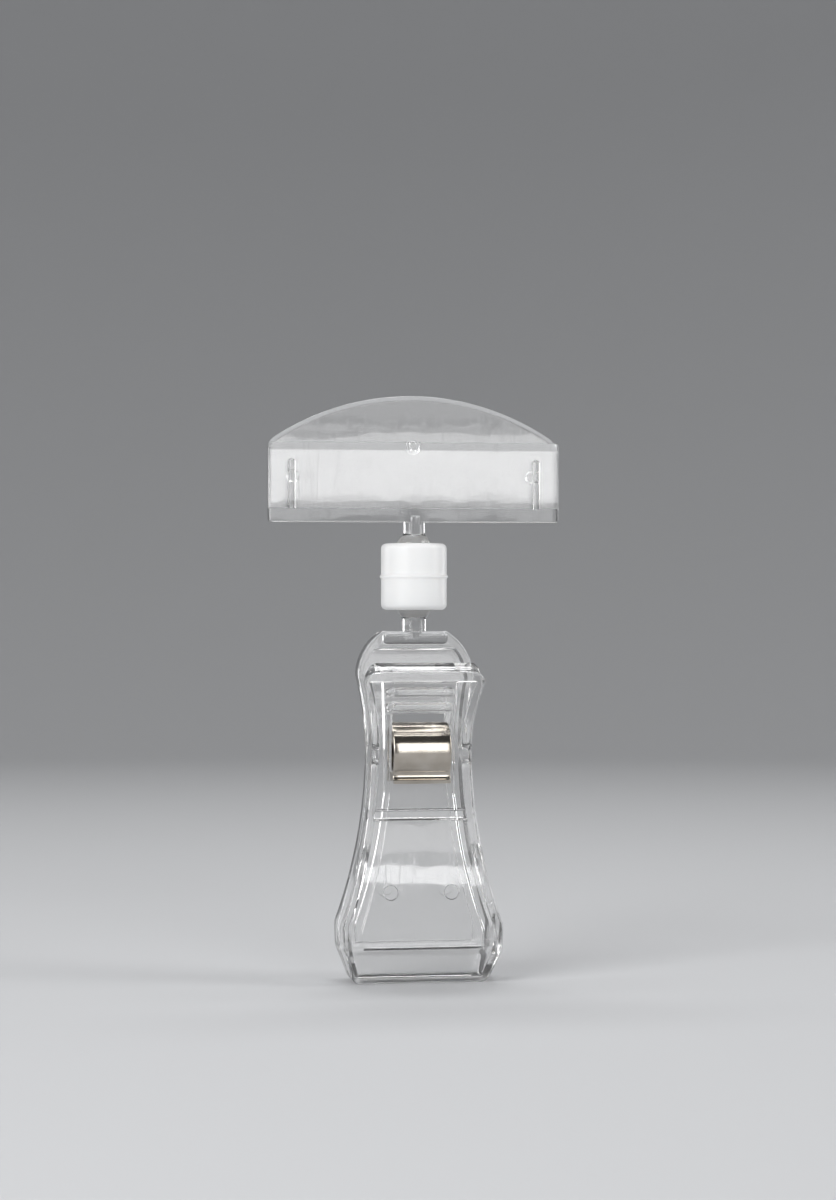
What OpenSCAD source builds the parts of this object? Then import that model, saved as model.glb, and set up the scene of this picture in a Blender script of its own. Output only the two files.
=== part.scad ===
// Clip sign holder: a clear moulded pinch clip, closed by a bent steel strip spring. A ball on
// the back leg carries a white two-socket sleeve, and the sleeve carries a clear arched head
// with a narrow slot for a card. Z is up, the front leg lies at -Y, and the origin is the
// middle of the line where the closed jaw tips meet.

/* [Clip legs] */
// Width of a leg at the jaw tip
tip_w = 23.7; // [20:0.1:26]
// Greatest width, at the shoulder
shoulder_w = 28.4; // [26:0.1:32]
// How far each side leans in from the shoulder down to the crease
side_lean = 0.2; // [0:0.1:0.8]
// Width at the waist, beside the fulcrum
waist_w = 17.8; // [17:0.1:20]
// Height of the waist
waist_z = 41.4; // [40.6:0.1:43]
// Width of the front handle at its top edge, before its corners are rounded
handle_w = 22.8; // [20:0.1:25]
// Height of the lip, from the tip to the crease
lip_h = 5.4; // [4:0.1:7]
// Height at which the shoulder turns into the side curve
shoulder_z = 10.2; // [9:0.1:14]
// Depth of one leg at the tip
tip_depth = 3; // [2.8:0.1:4.5]
// Depth of one leg at the crease
crease_depth = 6.4; // [5.6:0.1:8]
// Depth of one leg at the waist
waist_depth = 4.2; // [3.8:0.1:4.8]
// Thickness of the side walls
leg_wall = 1.4; // [1:0.1:2]
// Thickness of the panel between the rails
panel_t = 1.3; // [1:0.1:1.6]
// Depth of the panel below the rails
panel_recess = 0.9; // [0.5:0.1:1.1]
// Height of the solid edge at the jaw tip
tip_edge = 1.8; // [1.2:0.1:2.6]
// Rounding of the outline's corners
corner_r = 1.2; // [0.6:0.1:2]
// Gap that each leg leaves to the middle plane
jaw_gap = 0.1; // [0.05:0.01:0.2]

/* [Jaw hollow] */
// Height of the hollow's middle
hollow_z = 15.2; // [14:0.1:18]
// Length of the hollow along the legs
hollow_h = 17.5; // [14:0.1:19]
// Depth of the hollow in each leg
hollow_depth = 2.6; // [2.1:0.1:3]
// Height of the cross rib's foot, inside each leg above the hollow
cross_rib_z = 28.6; // [26:0.1:30]
// Height of that rib
cross_rib_h = 1.6; // [1:0.1:2]
// Distance of that rib from the middle plane
cross_rib_y = 1.2; // [0.8:0.1:1.6]

/* [Handles] */
// Height of the front handle's outer top edge
front_h = 54.8; // [54:0.1:60]
// Slope of the front handle
front_tilt = 25; // [20:0.5:28]
// Bend radius of the front handle
front_bend_r = 20; // [16:0.5:22]
// Depth of the front handle at its end
front_handle_depth = 3.4; // [3:0.1:4]
// Rounding of the front handle's top corners
handle_corner_r = 2.2; // [1:0.1:3]
// Height of the back leg's flat top
back_h = 61.7; // [61:0.1:66]
// Slope of the back handle
back_tilt = 10; // [8:0.5:12]
// Bend radius of the back handle
back_bend_r = 30; // [24:0.5:36]
// Radius of the dome's round sides
dome_r = 9.5; // [9:0.1:11]
// Half the distance between the centres of the dome's sides
dome_x = 0.9; // [0.4:0.1:1.5]
// Height of those centres below the flat top
dome_drop = 8.2; // [7.6:0.1:8.6]
// Radius of the grip ribs
grip_r = 0.8; // [0.5:0.1:0.9]
// Spacing of the grip ribs
grip_pitch = 2.6; // [2:0.1:2.8]
// Gap between a grip rib's round end and the rail beside it
grip_end_gap = 0.4; // [0.2:0.1:1]

/* [Fulcrum and spring] */
// Height of the fulcrum
fulcrum_z = 40; // [38:0.1:41]
// Radius of the front leg's knuckles
knuckle_r = 1.5; // [1.2:0.05:1.8]
// Running clearance of the knuckles in their grooves
knuckle_gap = 0.06; // [0.03:0.01:0.1]
// Angle to which the jaws open
open_angle = 25; // [15:1:28]
// Outside diameter of the spring's ring
spring_d = 10.6; // [10.4:0.1:11.2]
// Width of the spring's strip
spring_w = 10.2; // [8:0.1:10.4]
// Thickness of the strip
spring_t = 0.65; // [0.4:0.05:0.8]
// Radius of the rolled lips, at the middle of the strip
spring_lip_r = 1.3; // [1:0.1:1.5]
// Turn of each rolled lip
spring_lip_turn = 107; // [80:1:120]

/* [Ball joints] */
// Distance of the stem's axis behind the middle plane
stem_y = 4.5; // [4.3:0.1:4.9]
// Diameter of the lower stem
lower_stem_d = 4.3; // [3.4:0.1:4.4]
// Diameter of both balls
ball_d = 6.8; // [6.4:0.1:7.2]
// Height of the lower ball's centre above the back leg
ball_rise = 5; // [4.6:0.1:6]
// Running clearance of a ball in its socket
socket_gap = 0.06; // [0.03:0.01:0.1]
// Depth of a ball's centre inside the sleeve's mouth
ball_inset = 1.25; // [0.9:0.05:1.5]
// Outside diameter of the sleeve
sleeve_d = 11.7; // [10.8:0.1:13]
// Length of the sleeve
sleeve_h = 11.8; // [11.2:0.1:14]
// Rounding of the sleeve's edges
sleeve_edge_r = 0.65; // [0.3:0.05:0.8]
// Diameter of the bore between the sockets
sleeve_bore_d = 4.8; // [3:0.1:5]
// Height of the parting bead round the sleeve
bead_h = 0.95; // [0.6:0.05:1.2]
// How far the bead stands out
bead_out = 0.27; // [0.15:0.01:0.4]
// Width of the pad at the foot of the lower stem
pad_w = 11.8; // [10:0.1:12.4]
// Height of the pad's raised face
pad_h = 2.4; // [1.8:0.1:2.5]
// How far the pad stands out in front of the rims
pad_out = 0.8; // [0.4:0.1:1]
// How far the pad's foot stands out at each side
pad_foot_out = 0.5; // [0.2:0.1:0.8]
// Height of the end block behind the pad
block_h = 3.2; // [3:0.1:3.6]

/* [Sign head] */
// Width of the head
head_w = 52; // [40:0.5:70]
// Height of the head's bar above the upper ball's centre
head_rise = 5; // [4.6:0.1:6]
// Height of the bar
bar_h = 2.4; // [1.8:0.1:3]
// Thickness of each leaf
leaf_t = 1.3; // [1:0.1:1.6]
// Width of the card slot
slot_w = 0.9; // [0.7:0.05:1.3]
// Height of the front leaf above the bar's foot
front_leaf_h = 14.2; // [11:0.1:14.4]
// Height of the lead-in bevel on the front leaf, towards the slot
lead_in_h = 1.3; // [0.8:0.1:1.8]
// Depth of that bevel
lead_in_depth = 0.4; // [0.2:0.1:0.8]
// Height of the back leaf's shoulders above the bar's foot
shoulder_h = 14.4; // [14:0.1:18]
// Rise of the arch above the shoulders
arch_h = 8.2; // [6:0.1:11]
// Width of the bevel round the arch
arch_bevel = 0.8; // [0.4:0.1:1.1]
// Diameter of the upper stem
upper_stem_d = 3.9; // [3:0.1:4]
// Width of the rib on the front of the upper stem
stem_rib_w = 1.5; // [1:0.1:2]
// How far that rib stands out
stem_rib_out = 0.25; // [0.15:0.01:0.28]
// Distance of the grip ridges from the head's side edges
ridge_inset = 4; // [3:0.1:6]
// Diameter of the grip ridges
ridge_d = 1.1; // [0.8:0.1:1.3]
// How far the grip ridges reach into the slot
ridge_out = 0.45; // [0.3:0.05:0.5]
// Length of the grip ridges above the bar
ridge_h = 8.6; // [6:0.1:9]

/* [Hidden] */
$fn = 96;

// Circles as large as a leg need finer steps than the small ones
wide_fn = 720;
// Length that takes a cut clear of the leg, and a short one that takes a cut past an edge
reach = 30;
spare = 1;

clear_plastic = [0.86, 0.90, 0.92, 0.45];
white_plastic = "white";
plated_steel = [0.72, 0.70, 0.66];

// Leg outline: the sides turn in a little above the crease of the face, the side curve runs
// from the shoulder to the waist, and the flare from there to the dome or the front handle's end
crease_step = 0.8;
side_crease_z = lip_h + crease_step;
crease_w = shoulder_w - 2 * side_lean;
dome_z = back_h - dome_drop;
dome_blend = 0.1;
side_r = arc_radius(waist_z - shoulder_z, (shoulder_w - waist_w) / 2);
back_flare_r = arc_radius(dome_z - waist_z, dome_x + dome_r - dome_blend - waist_w / 2);
front_flare_r = arc_radius(front_h - waist_z, (handle_w - waist_w) / 2);
face_r = arc_radius(fulcrum_z - lip_h, crease_depth - waist_depth);
lip_angle = atan((crease_depth - tip_depth) / lip_h);

// Panel, window and spring take their widths from one another
window_gap = 0.5;
window_edge = 0.1;
window_w = spring_w + 2 * window_gap;
panel_w = window_w + 2 * window_edge;
rail_w = (waist_w - panel_w) / 2;
lower_rail_extra = 0.3;
lower_rail_w = rail_w + lower_rail_extra;
panel_step = 1;
panel_foot = lip_h + panel_step;
panel_face = waist_depth - panel_recess;

// Room round the spring in its window, and round the grip ribs above it
window_above_lip = 0.6;
window_above_ring = 1.6;
grip_margin = 1.2;
panel_margin = 1.8;
// Length by which a rib runs into the rail or wall beside it
overlap = 0.3;

// The rolled lips rest on the panel's face, just below the window
seat_gap = 0.05;
spring_mid_r = (spring_d - spring_t) / 2;
lip_x = panel_face + seat_gap + spring_lip_r + spring_t / 2;
lip_angle_at_ring = asin(lip_x / (spring_mid_r + spring_lip_r));
spring_above_fulcrum = 0.4;
spring_z = fulcrum_z + spring_above_fulcrum;
lip_z = spring_z - (spring_mid_r + spring_lip_r) * cos(lip_angle_at_ring);
ring_steps = 60;
lip_steps = 12;
window_foot = lip_z + window_above_lip;
window_head = spring_z + spring_d / 2 + window_above_ring;
grip_z = [window_head + grip_margin, window_head + grip_margin + grip_pitch];
panel_head = grip_z[1] + panel_margin;

// Ends of the handles, and the slope of the rims that lets the jaws open
front_end = handle_end(0, front_tilt, front_bend_r, front_h);
front_rim_end = front_end + front_handle_depth * [-cos(front_tilt), sin(front_tilt)];
front_rim_angle = atan((front_rim_end[0] - jaw_gap) / (front_rim_end[1] - fulcrum_z));
rim_spare = 3;
back_rim_angle = max(1, open_angle + rim_spare - front_rim_angle);
hollow_r = arc_radius(hollow_h / 2, hollow_depth);

// Heights of the joints, the sleeve and the head
lower_ball_z = back_h + ball_rise;
sleeve_z = lower_ball_z - ball_inset;
upper_ball_z = sleeve_z + sleeve_h - ball_inset;
ball_r = ball_d / 2;
socket_r = ball_r + socket_gap;
bar_z = upper_ball_z + head_rise;
arch_z = bar_z + shoulder_h;
head_top = arch_z + arch_h;
arch_r = arc_radius(head_w / 2, arch_h);
slot_front = stem_y - slot_w / 2;
slot_back = stem_y + slot_w / 2;

// Radius of the arc with this half chord and this rise
function arc_radius(half_chord, rise) = (half_chord * half_chord + rise * rise) / (2 * rise);

// Point where a handle's bend ends and its straight slope starts, this far below the surface
function bend_end(inset, tilt, bend_r) =
    [waist_depth + bend_r - (bend_r + inset) * cos(tilt), fulcrum_z + (bend_r + inset) * sin(tilt)];

// Point of a handle's straight slope at this height
function handle_end(inset, tilt, bend_r, z) =
    let (bend = bend_end(inset, tilt, bend_r))
    [bend[0] + (z - bend[1]) * tan(tilt), z];

// Extrudes a front view, drawn in X and Z, from y0 to y1
module front_view(y0, y1) {
    translate([0, y1, 0])
        rotate([90, 0, 0])
            linear_extrude(y1 - y0)
                children();
}

// Extrudes a side view, drawn in depth and Z, over this width
module side_view(width) {
    translate([-width / 2, 0, 0])
        rotate([90, 0, 90])
            linear_extrude(width)
                children();
}

// What a rounded corner takes off, with the corner at the origin and the shape at -X and -Z
module corner_cut(r) {
    translate([-r, -r])
        difference() {
            square(r + spare);
            circle(r);
        }
}

// Front view of a leg up to height z, drawn in by the inset
module leg_outline(inset, z, flare_r) {
    foot = tip_w - crease_w / 2 - inset;
    crease = crease_w / 2 - inset;
    rise = (z - side_crease_z) / (shoulder_z - side_crease_z);
    head = crease + rise * side_lean;
    difference() {
        polygon([
            [-foot, -side_crease_z], [foot, -side_crease_z], [crease, side_crease_z], [head, z],
            [-head, z], [-crease, side_crease_z]
        ]);
        for (side = [-1, 1]) {
            intersection() {
                translate([side * (waist_w / 2 + side_r), waist_z])
                    circle(side_r + inset, $fn = wide_fn);
                translate([-reach, 0])
                    square([2 * reach, waist_z]);
            }
            intersection() {
                translate([side * (waist_w / 2 + flare_r), waist_z])
                    circle(flare_r + inset, $fn = wide_fn);
                translate([-reach, waist_z])
                    square([2 * reach, z]);
            }
        }
    }
}

// Round top of the back leg, drawn in by the inset, and everything below it
module dome_outline(inset) {
    for (side = [-1, 1])
        translate([side * dome_x, dome_z])
            circle(dome_r - inset);
    translate([-dome_x, dome_z])
        square([2 * dome_x, dome_r - inset]);
    translate([-reach, -reach])
        square([2 * reach, reach + dome_z]);
}

// Side view of a leg up to the handle's end, with its outer face drawn in by the inset
module leg_side(inset, tilt, bend_r, end, end_tilt) {
    foot = tip_depth - inset / cos(lip_angle);
    difference() {
        polygon([
            [-reach, 0], [foot, 0], [foot + fulcrum_z * tan(lip_angle), fulcrum_z], [-reach, fulcrum_z]
        ]);
        translate([waist_depth + face_r, fulcrum_z])
            circle(face_r + inset, $fn = wide_fn);
    }
    difference() {
        polygon([
            [-reach, fulcrum_z], [waist_depth - inset, fulcrum_z], bend_end(inset, tilt, bend_r), end,
            end + reach * [-cos(end_tilt), sin(end_tilt)]
        ]);
        translate([waist_depth + bend_r, fulcrum_z])
            circle(bend_r + inset);
    }
}

// What the rims leave free: the middle plane, the jaw hollow and the room to open
module rim_relief(rim_angle) {
    top = 2 * reach;
    polygon([
        [-2 * reach, -spare], [jaw_gap, -spare], [jaw_gap, fulcrum_z],
        [jaw_gap + (top - fulcrum_z) * tan(rim_angle), top], [-2 * reach, 2 * top]
    ]);
    translate([hollow_depth - hollow_r, hollow_z])
        circle(hollow_r);
}

// Front view of the recessed panel between the rails: it follows the leg's outline below the
// window, and is straight beside and above it
module panel_outline() {
    intersection() {
        leg_outline(lower_rail_w, fulcrum_z, front_flare_r);
        translate([-reach, panel_foot])
            square([2 * reach, window_foot - panel_foot]);
    }
    translate([-panel_w / 2, panel_foot + panel_step])
        square([panel_w, panel_head - panel_foot - panel_step]);
}

// Shell of one leg, with its outer face towards +Y: rails round a recessed panel, a window
// for the spring and two grip ribs, hollow towards the other leg
module leg_shell(tilt, bend_r, end_z, pocket_z, end_tilt, rim_angle, top_z, flare_r) {
    hollow_in = panel_recess + panel_t;
    pocket_end = handle_end(hollow_in, tilt, bend_r, pocket_z);
    difference() {
        intersection() {
            front_view(-reach, reach)
                children();
            side_view(2 * shoulder_w)
                leg_side(0, tilt, bend_r, handle_end(0, tilt, bend_r, end_z), end_tilt);
        }
        side_view(2 * shoulder_w)
            rim_relief(rim_angle);
        intersection() {
            front_view(-reach, reach)
                intersection() {
                    leg_outline(leg_wall, top_z, flare_r);
                    translate([-reach, tip_edge])
                        square([2 * reach, top_z]);
                    dome_outline(leg_wall);
                }
            side_view(2 * shoulder_w)
                difference() {
                    leg_side(hollow_in, tilt, bend_r, pocket_end, end_tilt);
                    translate([cross_rib_y, cross_rib_z])
                        square([reach, cross_rib_h]);
                }
        }
        difference() {
            front_view(0, reach)
                panel_outline();
            side_view(2 * shoulder_w)
                leg_side(panel_recess, tilt, bend_r, handle_end(panel_recess, tilt, bend_r, reach * 2), 0);
        }
        front_view(-reach, reach)
            translate([-window_w / 2, window_foot])
                square([window_w, window_head - window_foot]);
    }
    for (z = grip_z)
        translate([0, handle_end(panel_recess, tilt, bend_r, z)[0], z])
            grip_rib();
}

// Grip rib across the panel: a bar with round ends
module grip_rib() {
    half_l = panel_w / 2 - grip_end_gap - grip_r;
    rotate([0, 90, 0])
        cylinder(r = grip_r, h = 2 * half_l, center = true, $fn = 48);
    for (side = [-1, 1])
        translate([side * half_l, 0, 0])
            sphere(grip_r, $fn = 48);
}

// Round bearing across both side walls at the fulcrum
module knuckles(r, x0, x1) {
    for (side = [-1, 1])
        translate([side * (x0 + x1) / 2, 0, fulcrum_z])
            rotate([0, 90, 0])
                cylinder(r = r, h = x1 - x0, center = true);
}

// Stem with a ball on its end, from the ball's centre to this distance below it
module ball_stem(stem_d, stem_l) {
    sphere(ball_r);
    translate([0, 0, -stem_l])
        cylinder(d = stem_d, h = stem_l);
}

// Back leg: domed shell with a solid end block, the pad, the stem and the lower ball
module back_leg() {
    color(clear_plastic) {
        difference() {
            leg_shell(back_tilt, back_bend_r, back_h, back_h - block_h, 0, back_rim_angle,
                      back_h + spare, back_flare_r)
                intersection() {
                    leg_outline(0, back_h + spare, back_flare_r);
                    dome_outline(0);
                }
            knuckles(knuckle_r + knuckle_gap, panel_w / 2, waist_w);
        }
        stem_pad();
        translate([0, stem_y, lower_ball_z])
            ball_stem(lower_stem_d, ball_rise + block_h / 2);
    }
}

// Pad on the front of the end block, below the stem: a raised face above a wider foot
module stem_pad() {
    rim_y = jaw_gap + (back_h - fulcrum_z) * tan(back_rim_angle);
    foot_h = block_h - pad_h;
    front_view(rim_y - pad_out, stem_y)
        difference() {
            translate([-pad_w / 2, back_h - pad_h])
                square([pad_w, pad_h]);
            for (side = [-1, 1])
                translate([side * pad_w / 2, back_h])
                    scale([side, 1])
                        corner_cut(corner_r);
        }
    front_view(rim_y - pad_out / 2, stem_y)
        translate([0, back_h - block_h])
            polygon([
                [-pad_w / 2 - pad_foot_out, 0], [pad_w / 2 + pad_foot_out, 0],
                [pad_w / 2, foot_h + overlap], [-pad_w / 2, foot_h + overlap]
            ]);
}

// Front leg: short shell with its sloping handle cut square, and the fulcrum's knuckles
module front_leg() {
    top_z = front_rim_end[1] + spare;
    color(clear_plastic)
        mirror([0, 1, 0]) {
            difference() {
                leg_shell(front_tilt, front_bend_r, front_h, front_h - leg_wall, front_tilt,
                          front_rim_angle, top_z, front_flare_r)
                    leg_outline(0, top_z, front_flare_r);
                front_corners();
            }
            knuckles(knuckle_r, panel_w / 2 + overlap, waist_w / 2 - jaw_gap);
        }
}

// Rounds the two top corners of the front handle, square to its slope: the round touches the
// end and the flaring side
module front_corners() {
    r = handle_corner_r;
    flare = atan(tan(asin((front_h - waist_z) / front_flare_r)) * cos(front_tilt));
    x = handle_w / 2 - r * (1 + sin(flare)) / cos(flare);
    for (side = [-1, 1])
        translate([0, front_end[0], front_h])
            rotate([-front_tilt, 0, 0])
                front_view(-reach / 2, reach / 2)
                    scale([side, 1])
                        translate([x, -r])
                            difference() {
                                polygon([
                                    [0, 0], (r + spare) * [cos(flare), -sin(flare)],
                                    [2 * r + spare, r + spare], [0, r + spare]
                                ]);
                                circle(r);
                            }
}

// Spring: a strip bent to an open ring that passes through both windows, with rolled lips
module clip_spring() {
    color(plated_steel)
        side_view(spring_w)
            translate([0, spring_z])
                polygon(concat(strip_side(1), [for (i = [len(strip_side(-1)) - 1:-1:0]) strip_side(-1)[i]]));
}

// One side of the strip, from lip to lip: the outside of the ring for face 1, the inside for -1
function strip_side(face) =
    concat(
        [for (i = [0:lip_steps - 1]) lip_point(1 - i / lip_steps, face)],
        [for (i = [0:ring_steps]) ring_point(i / ring_steps, face)],
        [for (i = [1:lip_steps]) let (point = lip_point(i / lip_steps, face)) [-point[0], point[1]]]
    );

// Point of the ring, as a share of the way from one lip to the other
function ring_point(share, face) =
    let (turn = lip_angle_at_ring + share * (360 - 2 * lip_angle_at_ring))
    (spring_mid_r + face * spring_t / 2) * [sin(turn), -cos(turn)];

// Point of a rolled lip, as a share of its turn from the ring's end
function lip_point(share, face) =
    let (turn = 90 + lip_angle_at_ring + share * spring_lip_turn)
    [lip_x, lip_z - spring_z] + (spring_lip_r - face * spring_t / 2) * [cos(turn), sin(turn)];

// Sleeve: a turned form with a socket at each end, a bore between them and a parting bead
module ball_sleeve() {
    half = sleeve_h / 2;
    r = sleeve_d / 2;
    color(white_plastic)
        translate([0, stem_y, sleeve_z + half])
            rotate_extrude()
                difference() {
                    union() {
                        translate([0, -half])
                            square([r, sleeve_h]);
                        polygon([[r - overlap, -bead_h / 2], [r, -bead_h / 2], [r + bead_out, 0],
                                 [r, bead_h / 2], [r - overlap, bead_h / 2]]);
                    }
                    for (side = [-1, 1]) {
                        translate([r, side * half])
                            scale([1, side])
                                corner_cut(sleeve_edge_r);
                        intersection() {
                            translate([0, side * (half - ball_inset)])
                                circle(socket_r);
                            translate([0, -sleeve_h])
                                square([r, 2 * sleeve_h]);
                        }
                    }
                    translate([0, -half])
                        square([sleeve_bore_d / 2, sleeve_h]);
                }
}

// Head: bar, short front leaf and arched back leaf with the card slot between them, on the
// upper stem and ball
module sign_head() {
    color(clear_plastic) {
        back_leaf();
        front_leaf();
        front_view(slot_front - leaf_t / 2, slot_back + leaf_t / 2)
            leaf_foot(bar_h);
        translate([0, stem_y, upper_ball_z])
            rotate([180, 0, 0])
                ball_stem(upper_stem_d, head_rise + bar_h / 2);
        stem_rib();
        for (side = [-1, 1])
            grip_ridge(side * (head_w / 2 - ridge_inset));
    }
}

// Foot of a leaf up to this height, with its two lower corners rounded
module leaf_foot(h) {
    difference() {
        translate([-head_w / 2, bar_z])
            square([head_w, h]);
        for (side = [-1, 1])
            translate([side * head_w / 2, bar_z])
                scale([side, -1])
                    corner_cut(corner_r / 2);
    }
}

// Back leaf: arched sheet, bevelled round the arch on its front face
module back_leaf() {
    bevel_t = leaf_t / 2;
    intersection() {
        front_view(slot_back, slot_back + leaf_t)
            difference() {
                leaf_foot(head_top - bar_z + spare);
                for (side = [-1, 1])
                    scale([side, 1])
                        shoulder_cut(corner_r);
            }
        translate([0, slot_back + leaf_t, head_top - arch_r])
            rotate([90, 0, 0])
                union() {
                    cylinder(r = arch_r, h = leaf_t - bevel_t, $fn = wide_fn);
                    translate([0, 0, leaf_t - bevel_t])
                        cylinder(r1 = arch_r, r2 = arch_r - arch_bevel, h = bevel_t, $fn = wide_fn);
                }
    }
}

// What rounding takes off where a side edge meets the arch: the round touches both
module shoulder_cut(r) {
    x = head_w / 2 - r;
    z = head_top - arch_r + sqrt(pow(arch_r - r, 2) - x * x);
    turn = acos(x / (arch_r - r));
    translate([x, z])
        difference() {
            polygon([[0, 0], [reach, 0], [reach, reach], reach * [cos(turn), sin(turn)]]);
            circle(r);
        }
}

// Front leaf: flat sheet with round corners, whose top edge slopes into the slot
module front_leaf() {
    top = bar_z + front_leaf_h;
    intersection() {
        front_view(slot_front - leaf_t, slot_front)
            difference() {
                leaf_foot(front_leaf_h);
                for (side = [-1, 1])
                    translate([side * head_w / 2, top])
                        scale([side, 1])
                            corner_cut(corner_r / 2);
            }
        side_view(head_w + 2 * spare)
            polygon([
                [slot_front - leaf_t - spare, bar_z - spare], [slot_front + spare, bar_z - spare],
                [slot_front + spare, top - lead_in_h * (1 + spare / lead_in_depth)],
                [slot_front - lead_in_depth * (1 + spare / lead_in_h), top + spare],
                [slot_front - leaf_t - spare, top + spare]
            ]);
    }
}

// Rib up the front of the upper stem and on to the bar
module stem_rib() {
    rib_front = stem_y - upper_stem_d / 2 - stem_rib_out;
    rib_foot = upper_ball_z + sqrt(ball_r * ball_r - pow(stem_y - rib_front, 2)) - overlap;
    translate([-stem_rib_w / 2, rib_front, rib_foot])
        cube([stem_rib_w, stem_y - rib_front, bar_z + bar_h / 2 - rib_foot]);
}

// Round-topped ridge on the front leaf's inner face, which grips the card
module grip_ridge(x) {
    translate([x, slot_front - ridge_d / 2 + ridge_out, bar_z + bar_h / 2]) {
        cylinder(d = ridge_d, h = ridge_h + bar_h / 2 - ridge_d / 2, $fn = 32);
        translate([0, 0, ridge_h + bar_h / 2 - ridge_d / 2])
            sphere(d = ridge_d, $fn = 32);
    }
}

back_leg();
front_leg();
clip_spring();
ball_sleeve();
sign_head();
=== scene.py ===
# Clip sign holder: a clear moulded pinch clip with a steel strip spring, a white double ball
# sleeve and a clear arched head with a card slot. Sizes are in millimetres, and meshes in metres.
import math

import bpy
import numpy as np
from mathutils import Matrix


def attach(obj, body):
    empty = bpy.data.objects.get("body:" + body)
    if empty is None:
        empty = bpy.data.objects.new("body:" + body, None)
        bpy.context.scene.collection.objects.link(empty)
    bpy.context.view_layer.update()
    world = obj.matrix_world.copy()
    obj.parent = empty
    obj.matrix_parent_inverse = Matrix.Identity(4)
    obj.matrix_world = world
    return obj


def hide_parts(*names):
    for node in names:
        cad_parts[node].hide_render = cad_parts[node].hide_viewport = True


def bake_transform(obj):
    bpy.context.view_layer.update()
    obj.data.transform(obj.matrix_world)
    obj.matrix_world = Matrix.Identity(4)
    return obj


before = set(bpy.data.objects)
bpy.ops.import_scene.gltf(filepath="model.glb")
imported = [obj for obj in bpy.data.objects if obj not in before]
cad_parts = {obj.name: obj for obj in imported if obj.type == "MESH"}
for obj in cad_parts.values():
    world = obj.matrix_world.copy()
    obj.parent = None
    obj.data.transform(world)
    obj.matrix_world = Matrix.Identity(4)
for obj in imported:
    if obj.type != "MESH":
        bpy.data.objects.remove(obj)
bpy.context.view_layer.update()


# Back leg
# The longer leg of the clip, injection moulded in clear polystyrene: a shell with rails round a
# sunk panel, a window for the spring, two grip ribs, and an end block that carries a pad, a
# stem and the lower ball. The front leg below is made by the same rules.
TIP_W, CREASE_W, SHOULDER_W, WAIST_W, HANDLE_W = 23.7, 28.0, 28.4, 17.8, 22.8
SIDE_CREASE_Z, LIP_H, SHOULDER_Z, FULCRUM_Z, WAIST_Z = 6.2, 5.4, 10.2, 40.0, 41.4
TIP_DEPTH, CREASE_DEPTH, WAIST_DEPTH = 3.0, 6.4, 4.2
LEG_WALL, PANEL_T, PANEL_RECESS, TIP_EDGE, JAW_GAP = 1.4, 1.3, 0.9, 1.8, 0.1
PANEL_HALF, LOWER_RAIL, PANEL_FOOT, PANEL_HEAD = 5.7, 3.5, 6.4, 52.9
WINDOW_HALF, WINDOW_FOOT, WINDOW_HEAD = 5.25, 37.2, 47.3
HOLLOW_Z, HOLLOW_H, HOLLOW_DEPTH = 15.2, 17.5, 2.6
CROSS_RIB_Z, CROSS_RIB_H, CROSS_RIB_Y = 28.6, 1.6, 1.2
GRIP_R, GRIP_Z, GRIP_HALF = 0.8, (48.5, 51.1), 5.3
PIN_D, PIN_X, PIN_Z, PIN_MARK, PIN_EDGE, PIN_ROOT = 2.7, 5.4, 15.9, 0.22, 0.12, 0.6
EDGE_R, TIP_CORNER_R, WINDOW_EDGE_R, WALL_DRAFT, CORNER_FADE = 0.35, 1.0, 0.12, 0.3, 4.0
STRAIGHT_RAIL, PANE_ROOM, STEP_ROOM, RAIL_LEAST = 5.0, 1.5, 0.4, 0.8
ROW_STEP, LEAST_STEP, CREASE_SPAN, CREASE_SOFT = 0.8, 0.012, 0.8, 0.12
BACK = dict(side=1, end=61.7, rim_end=61.7, pocket_end=58.5, tilt=10.0, bend_r=30.0, corner=0.0)
FRONT = dict(side=-1, end=54.8, rim_end=56.24, pocket_end=53.4, tilt=25.0, bend_r=20.0, corner=2.2)
DOME_R, DOME_X, DOME_Z, DOME_BLEND, DOME_LEAST = 9.5, 0.9, 53.5, 0.1, 0.3
FRONT_RIM_SLOPE = math.radians(19.82)
BACK_RIM_SLOPE = math.radians(8.18)
KNUCKLE_R, KNUCKLE_GAP, KNUCKLE_SOFT, GROOVE_SOFT, BEARING_FALL = 1.5, 0.06, 0.1, 0.5, 2.0


def arc_radius(half_chord, rise):
    """Radius of the arc with this half chord and this rise."""
    return (half_chord ** 2 + rise ** 2) / (2 * rise)


def ramp(t):
    """Smooth step: 0 below t = 0, 1 above t = 1, and 3t^2 - 2t^3 between them."""
    t = np.clip(t, 0, 1)
    return t * t * (3 - 2 * t)


def wall_step(t):
    """Share of a drafted wall's full step, at distance t past the middle of its slope."""
    return ramp(t / WALL_DRAFT + 0.5)


def round_over(t, r):
    """Height that a quarter round of radius r takes off at distance t from the edge."""
    return r - np.sqrt(r * r - np.clip(r - t, 0, r) ** 2)


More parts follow.
